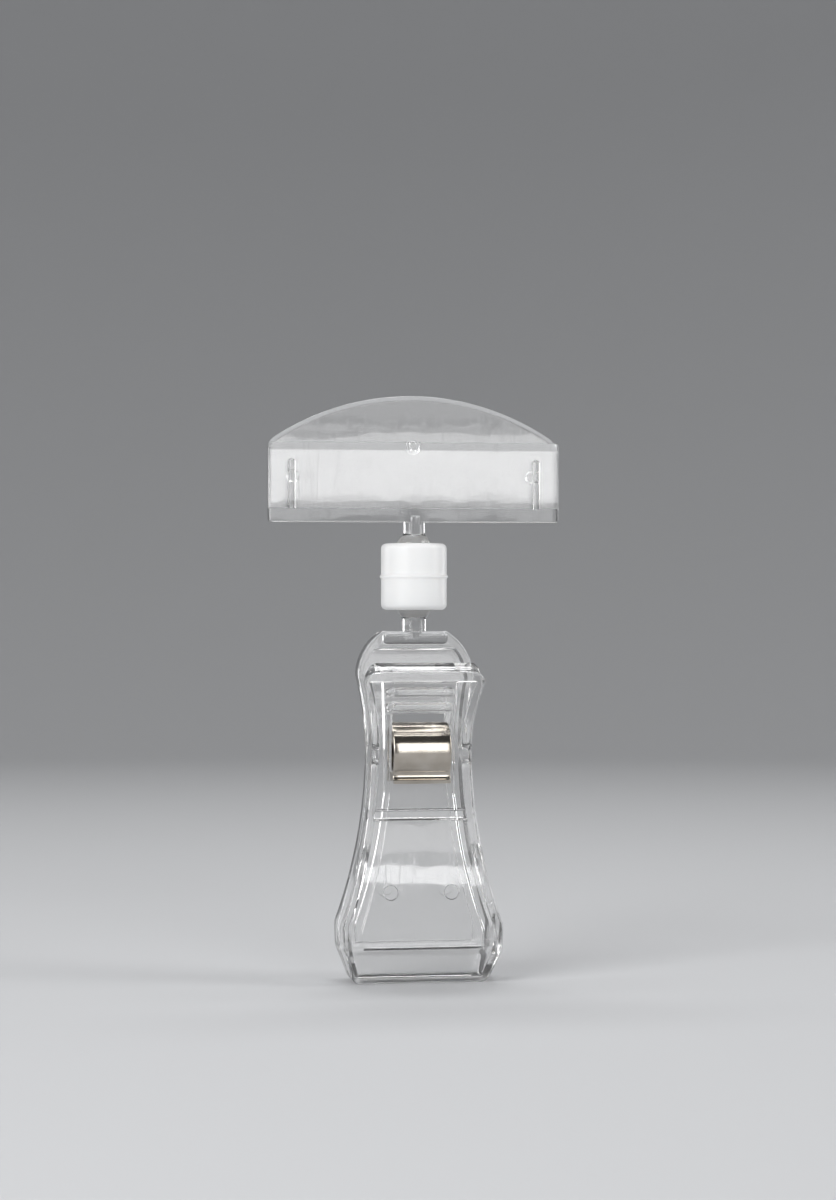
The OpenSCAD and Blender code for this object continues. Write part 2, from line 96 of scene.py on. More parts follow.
def leg_width(z, inset, leg):
    """Half width of a leg at height z: two straight lines up to the shoulder, one arc from the
    shoulder to the waist and one from the waist up; the back leg ends in a dome of two circles."""
    side_r = arc_radius(WAIST_Z - SHOULDER_Z, (SHOULDER_W - WAIST_W) / 2)
    if leg["side"] > 0:
        flare_r = arc_radius(DOME_Z - WAIST_Z, DOME_X + DOME_R - DOME_BLEND - WAIST_W / 2)
    else:
        flare_r = arc_radius(leg["end"] - WAIST_Z, (HANDLE_W - WAIST_W) / 2)
    lip = TIP_W / 2 + (CREASE_W - TIP_W) / 2 * z / SIDE_CREASE_Z
    flank = (CREASE_W + (SHOULDER_W - CREASE_W) * (z - SIDE_CREASE_Z) / (SHOULDER_Z - SIDE_CREASE_Z)) / 2
    off = (WAIST_Z - z) ** 2
    below = side_r - np.sqrt(np.clip((side_r + inset) ** 2 - off, 0, None)) + WAIST_W / 2
    above = flare_r - np.sqrt(np.clip((flare_r + inset) ** 2 - off, 0, None)) + WAIST_W / 2
    width = np.minimum(np.minimum(lip, flank) - inset, np.where(z < WAIST_Z, below, above))
    if leg["side"] > 0:
        rise = np.clip(z - DOME_Z, 0, None)
        dome = DOME_X + np.sqrt(np.clip((DOME_R - inset) ** 2 - rise ** 2, DOME_LEAST, None))
        width = np.minimum(width, np.where(z > DOME_Z, dome, width))
    return width


def leg_depth(z, inset, leg):
    """Depth of a leg's outer face at height z, sunk by the inset: the sloping lip meets a slack
    arc at the crease; above the fulcrum the handle bends away on an arc and then runs straight."""
    face_r = arc_radius(FULCRUM_Z - LIP_H, CREASE_DEPTH - WAIST_DEPTH)
    lip_slope = (CREASE_DEPTH - TIP_DEPTH) / LIP_H
    lip = TIP_DEPTH - inset * math.hypot(1, lip_slope) + z * lip_slope
    face = WAIST_DEPTH + face_r - np.sqrt((face_r + inset) ** 2 - (FULCRUM_Z - z) ** 2)
    low = 0.5 * (lip + face - np.sqrt((lip - face) ** 2 + CREASE_SOFT))
    tilt, bend_r = math.radians(leg["tilt"]), leg["bend_r"]
    bend_z = FULCRUM_Z + (bend_r + inset) * math.sin(tilt)
    bend_y = WAIST_DEPTH + bend_r - (bend_r + inset) * math.cos(tilt)
    reach = np.clip((bend_r + inset) ** 2 - np.clip(z - FULCRUM_Z, 0, bend_z - FULCRUM_Z) ** 2, 0, None)
    bent, straight = WAIST_DEPTH + bend_r - np.sqrt(reach), bend_y + (z - bend_z) * math.tan(tilt)
    high = np.where(z < bend_z, bent, straight)
    return np.where(z < FULCRUM_Z, low, high)


def handle_corner(width, slide, leg):
    """Half width of the front handle with its top corners rounded, at this distance along the slope
    from its end: each round touches the end and the flaring side, and the small slack that is left
    where they meet fades out down the side."""
    r = leg["corner"]
    rise = leg["end"] - WAIST_Z
    flare_r = arc_radius(rise, (HANDLE_W - WAIST_W) / 2)
    flare = math.atan(math.tan(math.asin(rise / flare_r)) * math.cos(math.radians(leg["tilt"])))
    middle = HANDLE_W / 2 - r * (1 + math.sin(flare)) / math.cos(flare)
    bow = middle + np.sqrt(np.clip(r * r - (r - slide) ** 2, 0, None))
    touch = r * (1 + math.sin(flare))
    slack = np.interp(touch, slide[::-1], width[::-1]) - middle - r * math.cos(flare)
    eased = width - slack * ramp(1 - (slide - touch) / CORNER_FADE)
    return np.where(slide < touch, np.minimum(bow, width), eased)


def rim_depth(z, leg):
    """Depth of a leg's inner rim: close to the middle plane up to the fulcrum, sloping away above
    it, with the jaw hollow's arc, and the front leg's round knuckle or the back leg's groove."""
    slope = BACK_RIM_SLOPE if leg["side"] > 0 else FRONT_RIM_SLOPE
    hollow_r = arc_radius(HOLLOW_H / 2, HOLLOW_DEPTH)
    hollow = HOLLOW_DEPTH - hollow_r + np.sqrt(np.clip(hollow_r ** 2 - (z - HOLLOW_Z) ** 2, 0, None))
    rim = np.maximum(JAW_GAP + np.clip(z - FULCRUM_Z, 0, None) * math.tan(slope), hollow)
    bearing_r = KNUCKLE_R + (KNUCKLE_GAP if leg["side"] > 0 else 0)
    past = np.abs(z - FULCRUM_Z)
    fall = BEARING_FALL * np.clip(past - bearing_r, 0, None)
    bearing = np.sqrt(np.clip(bearing_r ** 2 - past ** 2, 0, None)) - fall
    if leg["side"] > 0:
        return 0.5 * (rim + bearing + np.sqrt((rim - bearing) ** 2 + GROOVE_SOFT))
    return 0.5 * (rim - bearing - np.sqrt((rim + bearing) ** 2 + KNUCKLE_SOFT))


def spread(start, end, count, dense="even"):
    """Columns from one edge line to the next, for every row: evenly spaced, or closer together
    near the start or the end, as the points of a quarter circle seen from the side."""
    t = np.linspace(0, 1, count + 1)[:-1]
    if dense == "start":
        t = 1 - np.cos(t * np.pi / 2)
    if dense == "end":
        t = np.sin(t * np.pi / 2)
    return start[:, None] + (end - start)[:, None] * t[None, :]


def leg_columns(width, step, window):
    """A leg's columns, from its side edge to the middle and on to the other edge: the edge's
    round, the rail or rim, the draft of the step, the panel or pocket, the window's edge and the
    window."""
    blocks = [
        spread(width, width - EDGE_R, 5, "start"),
        spread(width - EDGE_R, step + WALL_DRAFT / 2, 3),
        spread(step + WALL_DRAFT / 2, step - WALL_DRAFT / 2, 6),
        spread(step - WALL_DRAFT / 2, window + WINDOW_EDGE_R, 18),
        spread(window + WINDOW_EDGE_R, window, 3, "end"),
        spread(window, 0 * width, 15),
        0 * width[:, None],
    ]
    half = np.concatenate(blocks, axis=1)
    return np.concatenate([half, -half[:, -2::-1]], axis=1)


def leg_rows(leg):
    """Heights of a leg's rows: even steps, with closer ones at every edge, step, rib and bearing."""
    quarter = np.cos(np.linspace(0, np.pi / 2, 6))
    half_turn = np.cos(np.linspace(0, np.pi, 13))
    draft = np.linspace(-0.5, 0.5, 6) * WALL_DRAFT
    end = leg["end"]
    rows = [np.arange(0, end, ROW_STEP), EDGE_R * (1 - quarter), end - EDGE_R * (1 - quarter), [end]]
    rows += [TIP_CORNER_R * (1 - quarter)]
    rows += [end - leg["corner"] * (1 - quarter), end - leg["corner"] * (1 + 0.3 * quarter)]
    rows += [z + draft for z in (TIP_EDGE, PANEL_FOOT, PANEL_HEAD, leg["pocket_end"])]
    rows += [z + draft for z in (CROSS_RIB_Z, CROSS_RIB_Z + CROSS_RIB_H)]
    rows += [WINDOW_FOOT - WINDOW_EDGE_R * (1 - quarter), WINDOW_HEAD + WINDOW_EDGE_R * (1 - quarter)]
    rows += [z + GRIP_R * half_turn for z in GRIP_Z]
    rows += [FULCRUM_Z + KNUCKLE_R * half_turn, FULCRUM_Z + 1.3 * KNUCKLE_R * half_turn]
    rows += [LIP_H + np.linspace(-CREASE_SPAN, CREASE_SPAN, 9), [SIDE_CREASE_Z]]
    rows = np.unique(np.concatenate([np.asarray(r, float) for r in rows]))
    kept = np.concatenate([[True], np.diff(rows) > LEAST_STEP])
    rows = rows[kept]
    rows[-1] = end
    return rows


def leg_sheets(leg):
    """A leg's outer and inner grids, and the cells of the window. The outer depth is the face,
    sunk to the panel between the rails and raised by the ribs; the inner depth is the rim, sunk to
    the pocket between the side walls; every border is rounded over."""
    rows, pocket_end = leg_rows(leg), leg["pocket_end"]
    grids = []
    for inner in (False, True):
        end = leg["rim_end"] if inner else leg["end"]
        stretch = (end - pocket_end) / (leg["end"] - pocket_end)
        z = np.where(rows > pocket_end, pocket_end + (rows - pocket_end) * stretch, rows)
        width = leg_width(rows, 0, leg) - round_over(rows, TIP_CORNER_R)
        if leg["corner"] > 0:
            width = handle_corner(width, (leg["end"] - rows) / math.cos(math.radians(leg["tilt"])), leg)
        lean = np.sqrt(1 + np.gradient(width, z) ** 2)[:, None]
        if inner:
            step = leg_width(z, LEG_WALL, leg)
        else:
            step = np.maximum(leg_width(z, LOWER_RAIL, leg), PANEL_HALF)
            step = np.where(z > WINDOW_FOOT - STRAIGHT_RAIL, PANEL_HALF, step)
        pane = np.minimum(WINDOW_HALF, width - PANE_ROOM)
        step = np.clip(step, pane + STEP_ROOM, width - RAIL_LEAST)
        x = leg_columns(width, step, pane)
        across = wall_step(step[:, None] - np.abs(x))
        z2 = z[:, None] + 0 * x
        border = np.minimum((width[:, None] - np.abs(x)) / lean, np.minimum(z2, end - z2))
        window = np.maximum(np.abs(x) - WINDOW_HALF, np.maximum(WINDOW_FOOT - z2, z2 - WINDOW_HEAD))
        cut = np.maximum(round_over(border, EDGE_R), round_over(np.clip(window, 0, None), WINDOW_EDGE_R))
        if inner:
            along = wall_step(z2 - TIP_EDGE) * wall_step(pocket_end - z2)
            rim = rim_depth(z2, leg)
            floor = np.maximum(leg_depth(z2, PANEL_RECESS + PANEL_T, leg), rim)
            rib = wall_step(z2 - CROSS_RIB_Z) * wall_step(CROSS_RIB_Z + CROSS_RIB_H - z2)
            floor = floor + (np.maximum(CROSS_RIB_Y, rim) - floor) * rib
            y = rim + (floor - rim) * across * along + cut
        else:
            along = wall_step(z2 - PANEL_FOOT) * wall_step(PANEL_HEAD - z2)
            face, panel = leg_depth(z2, 0, leg), leg_depth(z2, PANEL_RECESS, leg)
            past = np.clip(np.abs(x) - GRIP_HALF + GRIP_R, 0, None)
            ribs = 0 * z2
            for grip in GRIP_Z:
                ribs = ribs + np.sqrt(np.clip(GRIP_R ** 2 - (z2 - grip) ** 2 - past ** 2, 0, None))
            y = face + (panel + ribs - face) * across * along - cut
        grids.append(np.stack([x, leg["side"] * y, z2], axis=-1))
    close = 1e-6
    half_window = np.abs(grids[0][:-1, :, 0]) <= WINDOW_HALF + close
    cols = half_window[:, :-1] & half_window[:, 1:]
    inside = (rows[:-1] >= WINDOW_FOOT - close) & (rows[1:] <= WINDOW_HEAD + close)
    return grids[0], grids[1], cols & inside[:, None]


def put_mesh(name, points, faces):
    """A mesh object at the origin from points in millimetres and a list of face index arrays; its
    faces are turned outwards by the sign of the volume that they enclose."""
    used, faces_flat = np.unique(np.concatenate([f.ravel() for f in faces]), return_inverse=True)
    points = points[used] * 0.001
    cuts = np.cumsum([f.size for f in faces])[:-1]
    faces = [part.reshape(f.shape) for part, f in zip(np.split(faces_flat, cuts), faces)]
    volume = 0.0
    for f in faces:
        for k in range(1, f.shape[1] - 1):
            a, b, c = points[f[:, 0]], points[f[:, k]], points[f[:, k + 1]]
            volume += np.einsum("ij,ij->i", a, np.cross(b, c)).sum()
    if volume < 0:
        faces = [f[:, ::-1] for f in faces]
    mesh = bpy.data.meshes.new(name)
    mesh.from_pydata(points.tolist(), [], [row for f in faces for row in f.tolist()])
    mesh.update()
    piece = bpy.data.objects.new(name, mesh)
    bpy.context.scene.collection.objects.link(piece)
    return piece


def shell_mesh(name, outer, inner, hole):
    """Closed skin over two grids: the cells of both, less the hole's, and a strip of quads from
    grid to grid along every border edge of the cells that are kept."""
    count = outer.shape[0] * outer.shape[1]
    index = np.arange(count).reshape(outer.shape[:2])
    cells = np.stack([index[:-1, :-1], index[:-1, 1:], index[1:, 1:], index[1:, :-1]], axis=-1)[~hole]
    edges = np.concatenate([cells[:, [k, (k + 1) % 4]] for k in range(4)])
    low, high = np.minimum(edges[:, 0], edges[:, 1]), np.maximum(edges[:, 0], edges[:, 1])
    place, times = np.unique(low * count + high, return_inverse=True, return_counts=True)[1:]
    rim = edges[times[place] == 1]
    strip = np.stack([rim[:, 1], rim[:, 0], rim[:, 0] + count, rim[:, 1] + count], axis=-1)
    points = np.concatenate([outer.reshape(-1, 3), inner.reshape(-1, 3)])
    return put_mesh(name, points, [cells, cells[:, ::-1] + count, strip])


def turned_mesh(name, radius, height, centre, count=72, upright=True):
    """Turned form: a profile of radius and height from pole to pole, carried round an axis that
    stands upright, or that runs from front to back."""
    angle = np.linspace(0, 2 * np.pi, count, endpoint=False)
    ring = np.stack([np.cos(angle), np.sin(angle)], axis=-1)
    body = np.concatenate([
        centre[None, None, :2] + radius[1:-1, None, None] * ring[None],
        np.broadcast_to(height[1:-1, None, None], (len(radius) - 2, count, 1)),
    ], axis=-1).reshape(-1, 3)
    poles = np.array([[centre[0], centre[1], height[0]], [centre[0], centre[1], height[-1]]])
    index = np.arange(len(body)).reshape(-1, count)
    turn = np.roll(index, -1, axis=1)
    quads = np.stack([index[:-1], turn[:-1], turn[1:], index[1:]], axis=-1).reshape(-1, 4)
    low, high = len(body), len(body) + 1
    foot = np.stack([turn[0], index[0], np.full(count, low)], axis=-1)
    head = np.stack([index[-1], turn[-1], np.full(count, high)], axis=-1)
    points = np.concatenate([body, poles])
    return put_mesh(name, points if upright else points[:, [0, 2, 1]], [quads, foot, head])


def pin_marks(leg):
    """The two flat discs that the mould's ejector pins leave on a leg's panel, inside: turned discs
    with a small bevel, each rooted in the panel."""
    floor = leg_depth(np.array(PIN_Z), PANEL_RECESS + PANEL_T, leg)
    radius = np.array([0, PIN_D / 2 - PIN_EDGE, PIN_D / 2, PIN_D / 2, 0])
    rise = np.array([-PIN_MARK, -PIN_MARK, PIN_EDGE - PIN_MARK, PIN_ROOT, PIN_ROOT])
    depth = leg["side"] * (floor + rise)
    places = [np.array([x, PIN_Z, 0.0]) for x in (-PIN_X, PIN_X)]
    return [turned_mesh("pin_mark", radius, depth, place, 48, upright=False) for place in places]


def fuse(piece, *others):
    """Joins closed pieces into one solid, as one moulding has no faces inside it."""
    for other in others:
        join = piece.modifiers.new("join", "BOOLEAN")
        join.operation, join.solver, join.object = "UNION", "EXACT", other
    bpy.context.view_layer.update()
    whole = bpy.data.meshes.new_from_object(piece.evaluated_get(bpy.context.evaluated_depsgraph_get()))
    piece.modifiers.clear()
    piece.data = whole
    for other in others:
        bpy.data.objects.remove(other)


def smooth(piece, sharp=38):
    """Soft shading that keeps flat faces flat and true corners sharp."""
    piece.data.polygons.foreach_set("use_smooth", np.ones(len(piece.data.polygons), dtype=bool))
    piece.data.set_sharp_from_angle(angle=math.radians(sharp))
    weigh = piece.modifiers.new("flat_faces", "WEIGHTED_NORMAL")
    weigh.keep_sharp = True


def slab_mesh(name, low, high, r, steps=4):
    """Block with rounded edges: a box pushed out from its core, whose corner points lie on the
    eighths of a sphere, on a grid round the upright axis; it stops just short of the poles, and
    flat ends close it."""
    low, high = np.asarray(low, float), np.asarray(high, float)
    near_pole = 0.46
    lift = np.insert(np.linspace(-near_pole, near_pole, 2 * steps + 1) * np.pi, steps, 0.0)
    turn = np.concatenate([np.linspace(0, np.pi / 2, steps + 1) + k * np.pi / 2 for k in range(4)])
    core = (high - low) / 2 - r
    quad = np.repeat(np.arange(4), steps + 1)
    sx = np.where((quad == 0) | (quad == 3), 1.0, -1.0)
    sy = np.where(quad < 2, 1.0, -1.0)
    sz = np.where(np.arange(len(lift)) <= steps, -1.0, 1.0)
    middle = (high + low) / 2
    x = middle[0] + sx[None] * core[0] + r * np.cos(lift)[:, None] * np.cos(turn)[None]
    y = middle[1] + sy[None] * core[1] + r * np.cos(lift)[:, None] * np.sin(turn)[None]
    z = middle[2] + (sz * core[2] + r * np.sin(lift))[:, None] + 0 * x
    points = np.stack([x, y, z], axis=-1)
    rows, count = points.shape[:2]
    index = np.arange(rows * count).reshape(rows, count)
    turned = np.roll(index, -1, axis=1)
    quads = np.stack([index[:-1], turned[:-1], turned[1:], index[1:]], axis=-1).reshape(-1, 4)
    return put_mesh(name, points.reshape(-1, 3), [quads, index[0][None, ::-1], index[-1][None]])


def linear(code):
    """Linear colour of an sRGB hex code."""
    srgb = [int(code[k:k + 2], 16) / 255 for k in (1, 3, 5)]
    return tuple(c / 12.92 if c <= 0.04045 else ((c + 0.055) / 1.055) ** 2.4 for c in srgb) + (1.0,)


def add(tree, kind, links=None, **settings):
    """Adds a node with its settings, sets its plain sockets and links the others."""
    made = tree.nodes.new(kind)
    for name, value in settings.items():
        setattr(made, name, value)
    for socket, value in (links or {}).items():
        if isinstance(value, bpy.types.NodeSocket):
            tree.links.new(value, made.inputs[socket])
        else:
            made.inputs[socket].default_value = value
    return made


def finish_named(name):
    """An empty node material, and its tree."""
    material = bpy.data.materials.new(name)
    material.use_nodes = True
    material.node_tree.nodes.clear()
    return material, material.node_tree


MM = 1000.0
PLASTIC_TINT, PLASTIC_IOR = "#FAFAFA", 1.59
FLOW_MM, FLOW_HEIGHT = 9.0, 0.05
SCUFF_MM, SCUFF_HEIGHT = 0.5, 0.004
HAIR_MM, HAIR_WIDTH = 6.0, 0.06

# Clear polystyrene, injection moulded in polished moulds: bright hard reflections, dark rims where
# the light is bent away, slack waves from the flow of the melt, and fine scuffs from packing. The
# hair scratches are drawn wider than real ones, so that they show.
clear_plastic, tree = finish_named("clear_moulded_polystyrene")
place = add(tree, "ShaderNodeTexCoord").outputs["Object"]
flow = add(tree, "ShaderNodeTexNoise", {
    "Vector": place, "Scale": MM / FLOW_MM, "Detail": 2.0, "Roughness": 0.4})
lines = add(tree, "ShaderNodeMapping", {
    "Vector": place, "Scale": (1.0, 1.0, 0.12), "Rotation": (0.0, 0.35, 0.0)})
scuff = add(tree, "ShaderNodeTexNoise", {
    "Vector": lines.outputs["Vector"], "Scale": MM / SCUFF_MM, "Detail": 3.0})
dull = add(tree, "ShaderNodeMapRange", {"Value": scuff.outputs["Fac"], "From Min": 0.55, "From Max": 0.8,
                                        "To Min": 0.012, "To Max": 0.12})
streaks = add(tree, "ShaderNodeMapping", {
    "Vector": place, "Scale": (1.0, 1.0, 0.06), "Rotation": (0.0, -0.3, 0.0)})
cells = add(tree, "ShaderNodeTexVoronoi", {"Vector": streaks.outputs["Vector"], "Scale": MM / HAIR_MM},
            feature="DISTANCE_TO_EDGE")
hair = add(tree, "ShaderNodeMapRange", {
    "Value": cells.outputs["Distance"], "From Max": HAIR_WIDTH / HAIR_MM, "To Min": 0.15, "To Max": 0.0})
some = add(tree, "ShaderNodeMapRange", {"Value": flow.outputs["Fac"], "From Min": 0.5, "From Max": 0.56})
worn = add(tree, "ShaderNodeMath", {0: hair.outputs["Result"], 1: some.outputs["Result"],
                                    2: dull.outputs["Result"]}, operation="MULTIPLY_ADD")
waves = add(tree, "ShaderNodeBump", {
    "Height": flow.outputs["Fac"], "Strength": 0.25, "Distance": FLOW_HEIGHT / MM})
marks = add(tree, "ShaderNodeBump", {"Height": scuff.outputs["Fac"], "Strength": 0.15,
                                     "Distance": SCUFF_HEIGHT / MM, "Normal": waves.outputs["Normal"]})
shade = add(tree, "ShaderNodeBsdfPrincipled", {
    "Base Color": linear(PLASTIC_TINT), "IOR": PLASTIC_IOR, "Transmission Weight": 0.96,
    "Roughness": worn.outputs["Value"], "Normal": marks.outputs["Normal"]})
add(tree, "ShaderNodeOutputMaterial", {"Surface": shade.outputs["BSDF"]})

STEM_Y, BALL_D, LOWER_STEM_D, LOWER_BALL_Z = 4.5, 6.8, 4.3, 66.7
PAD_W, PAD_H, PAD_OUT, PAD_ROOT, PAD_R, PAD_DROP = 11.8, 2.4, 0.8, 1.0, 0.9, 0.05
PAD_FOOT_OUT, PAD_FOOT_ROOT, PAD_FOOT_R, PAD_FOOT_LAP = 0.5, 0.6, 0.25, 0.2
BLOCK_H, STEM_ROOT, STEM_FILLET = 3.2, 1.2, 0.6


def ball_profile(stem_d, foot_z, ball_z, up):
    """Radius and height of a stem with a ball on its end: the stem's line, a small fillet where it
    meets the ball, and the ball's circle round to its pole."""
    ball_r, stem_r, fillet = BALL_D / 2, stem_d / 2, STEM_FILLET
    meet = math.acos((stem_r + fillet) / (ball_r + fillet))
    turn = np.linspace(-meet, np.pi / 2, 34)
    ball = np.stack([ball_r * np.cos(turn), ball_r * np.sin(turn)], axis=-1)
    centre = np.array([stem_r + fillet, -(ball_r + fillet) * math.sin(meet)])
    sweep = np.linspace(np.pi, np.pi - meet, 8)[:-1]
    neck = centre + fillet * np.stack([np.cos(sweep), np.sin(sweep)], axis=-1)
    reach = abs(ball_z - foot_z)
    line = np.array([[0, -reach], [stem_r, -reach]])
    profile = np.concatenate([line, neck, ball])
    profile[-1, 0] = 0
    return profile[:, 0], ball_z + (1 if up else -1) * profile[:, 1]


back_leg = shell_mesh("clear_back_leg", *leg_sheets(BACK))
block_top = BACK["end"]
stem_r, stem_z = ball_profile(LOWER_STEM_D, block_top - STEM_ROOT, LOWER_BALL_Z, True)
ball_stem = turned_mesh("lower_ball_stem", stem_r, stem_z, np.array([0, STEM_Y, 0]))
rim_y = JAW_GAP + (block_top - FULCRUM_Z) * math.tan(BACK_RIM_SLOPE)
pad = slab_mesh("stem_pad", (-PAD_W / 2, rim_y - PAD_OUT, block_top - PAD_H),
                (PAD_W / 2, STEM_Y + PAD_ROOT, block_top - PAD_DROP), PAD_R)
foot_half = PAD_W / 2 + PAD_FOOT_OUT
foot_top = block_top - PAD_H + PAD_FOOT_LAP
foot = slab_mesh("pad_foot", (-foot_half, rim_y - PAD_OUT / 2, block_top - BLOCK_H),
                 (foot_half, STEM_Y + PAD_FOOT_ROOT, foot_top), PAD_FOOT_R)
fuse(back_leg, *pin_marks(BACK))
for feature in (pad, foot, ball_stem):
    fuse(back_leg, feature)
smooth(back_leg)
back_leg.data.materials.clear()
back_leg.data.materials.append(clear_plastic)
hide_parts("back_leg")
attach(back_leg, "clip_back")


# Front leg
# The shorter leg, of the same clear moulding: its handle slopes away more and is cut square with
# rounded corners, and round knuckles on its rims rock in the back leg's grooves.
front_leg = shell_mesh("clear_front_leg", *leg_sheets(FRONT))
fuse(front_leg, *pin_marks(FRONT))
smooth(front_leg)
front_leg.data.materials.clear()
front_leg.data.materials.append(clear_plastic)
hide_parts("front_leg")
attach(front_leg, "clip_front")


# Clip spring
# Nickel-plated spring-steel strip, bent to an open ring that passes through both windows; its
# rolled lips lie on the panels and pull the jaws together.
SPRING_D, SPRING_W, SPRING_T, LIP_R, LIP_TURN = 10.6, 10.2, 0.65, 1.3, 107.0
SPRING_Z, SEAT_GAP, STRIP_EDGE = 40.4, 0.05, 0.16


def strip_path(count_ring=90, count_lip=24):
    """Middle line of the strip in depth and height, from lip to lip, and its outward normals: a
    lip's arc rolls away from the ring's arc on the same tangent."""
    ring_r = (SPRING_D - SPRING_T) / 2
    lip_y = WAIST_DEPTH - PANEL_RECESS + SEAT_GAP + LIP_R + SPRING_T / 2
    start = math.asin(lip_y / (ring_r + LIP_R))
    lip_z = -(ring_r + LIP_R) * math.cos(start)
    turn = np.linspace(start, 2 * np.pi - start, count_ring)
    ring = np.stack([np.sin(turn), -np.cos(turn)], axis=-1)
    roll = np.pi / 2 + start + np.linspace(1, 0, count_lip, endpoint=False) * math.radians(LIP_TURN)
    lip = np.stack([np.cos(roll), np.sin(roll)], axis=-1)
    line = np.concatenate([np.array([lip_y, lip_z]) + LIP_R * lip, ring_r * ring,
                           (np.array([lip_y, lip_z]) + LIP_R * lip)[::-1] * [-1, 1]])
    normal = np.concatenate([-lip, ring, -lip[::-1] * [-1, 1]])
    return line + [0, SPRING_Z], normal


def strip_mesh(name):
    """The strip: a flat rounded bar's outline carried along the middle line, with closed ends."""
    line, normal = strip_path()
    corner = np.linspace(0, np.pi / 2, 4)
    half_w, half_t = SPRING_W / 2 - STRIP_EDGE, SPRING_T / 2 - STRIP_EDGE
    across = np.linspace(half_w, -half_w, 9)
    top = np.stack([across, np.full(len(across), SPRING_T / 2)], axis=-1)[1:-1]
    sides = []
    for sx, sy, begin in ((1, 1, 0.0), (-1, 1, np.pi / 2), (-1, -1, np.pi), (1, -1, 1.5 * np.pi)):
        arc = np.stack([np.cos(begin + corner), np.sin(begin + corner)], axis=-1) * STRIP_EDGE
        sides.append(arc + [sx * half_w, sy * half_t])
        if sy * sx > 0:
            sides.append(top if sy > 0 else -top)
    outline = np.concatenate(sides)
    x = np.broadcast_to(outline[None, :, 0], (len(line), len(outline)))
    yz = line[:, None] + normal[:, None] * outline[None, :, 1:]
    points = np.concatenate([x[..., None], yz], axis=-1)
    index = np.arange(points.shape[0] * points.shape[1]).reshape(points.shape[:2])
    turned = np.roll(index, -1, axis=1)
    body = np.stack([index[:-1], turned[:-1], turned[1:], index[1:]], axis=-1).reshape(-1, 4)
    return put_mesh(name, points.reshape(-1, 3), [body, index[0][None, ::-1], index[-1][None]])


# Nickel plate on rolled spring steel: a warm mirror, with a fine orange peel that frays the edges
# of what it reflects, and faint clouds in its colour.
NICKEL, NICKEL_DARK = "#CFC9C0", "#A8A095"
PEEL_MM, PEEL_HEIGHT, CLOUD_MM = 0.22, 0.015, 3.0
nickel_plate, tree = finish_named("nickel_plated_spring_steel")
place = add(tree, "ShaderNodeTexCoord").outputs["Object"]
peel = add(tree, "ShaderNodeTexNoise", {"Vector": place, "Scale": MM / PEEL_MM, "Detail": 3.0})
cloud = add(tree, "ShaderNodeTexNoise", {"Vector": place, "Scale": MM / CLOUD_MM, "Detail": 2.0})
tone = add(tree, "ShaderNodeMix", {0: cloud.outputs["Fac"], 6: linear(NICKEL_DARK), 7: linear(NICKEL)},
           data_type="RGBA")
satin = add(tree, "ShaderNodeMapRange", {"Value": peel.outputs["Fac"], "From Min": 0.3, "From Max": 0.7,
                                         "To Min": 0.08, "To Max": 0.2})
fray = add(tree, "ShaderNodeBump", {
    "Height": peel.outputs["Fac"], "Strength": 0.25, "Distance": PEEL_HEIGHT / MM})
shade = add(tree, "ShaderNodeBsdfPrincipled", {
    "Base Color": tone.outputs[2], "Metallic": 1.0, "Roughness": satin.outputs["Result"],
    "Normal": fray.outputs["Normal"]})
add(tree, "ShaderNodeOutputMaterial", {"Surface": shade.outputs["BSDF"]})

spring = strip_mesh("plated_strip_spring")
smooth(spring)
spring.data.materials.append(nickel_plate)
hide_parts("clip_spring")
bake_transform(spring)


# Ball sleeve
# White moulded sleeve with a socket at each end, which snaps over both balls; a thin bead runs
# round its middle where the halves of the mould met.
SLEEVE_D, SLEEVE_H, SLEEVE_Z, SLEEVE_EDGE, SLEEVE_BORE = 11.7, 11.8, 65.45, 0.95, 4.8
BALL_INSET, SOCKET_GAP, MOUTH_R, BEAD_H, BEAD_OUT = 1.25, 0.06, 0.25, 0.95, 0.24


def sleeve_profile():
    """Closed outline of the sleeve in radius and height from its middle: one half, from the bore
    up the socket's circle, over the rounded edge and down to the bead, and its mirror image."""
    half, r, socket = SLEEVE_H / 2, SLEEVE_D / 2, BALL_D / 2 + SOCKET_GAP
    centre = half - BALL_INSET
    low = -math.sqrt(socket ** 2 - (SLEEVE_BORE / 2) ** 2)
    turn = np.linspace(math.asin(low / socket), math.asin(BALL_INSET / socket), 18)
    bowl = np.stack([socket * np.cos(turn), centre + socket * np.sin(turn)], axis=-1)
    edge = np.linspace(np.pi / 2, 0, 8)
    lip = np.linspace(np.pi, np.pi / 2, 5)[1:]
    mouth = np.stack([bowl[-1, 0] + MOUTH_R + MOUTH_R * np.cos(lip),
                      half - MOUTH_R + MOUTH_R * np.sin(lip)], axis=-1)
    bowl = bowl[bowl[:, 1] < half - MOUTH_R]
    outer = np.stack([r - SLEEVE_EDGE + SLEEVE_EDGE * np.cos(edge),
                      half - SLEEVE_EDGE + SLEEVE_EDGE * np.sin(edge)], axis=-1)
    swell = np.linspace(BEAD_H / 2, 0, 7)
    bead = np.stack([r + BEAD_OUT * np.cos(swell / BEAD_H * np.pi) ** 2, swell], axis=-1)
    side = np.stack([np.full(5, r), np.linspace(half - SLEEVE_EDGE, BEAD_H / 2, 7)[1:-1]], axis=-1)
    top = np.concatenate([bowl, mouth, outer, side, bead[:-1]])
    return np.concatenate([top, bead[-1:], (top * [1, -1])[::-1]])


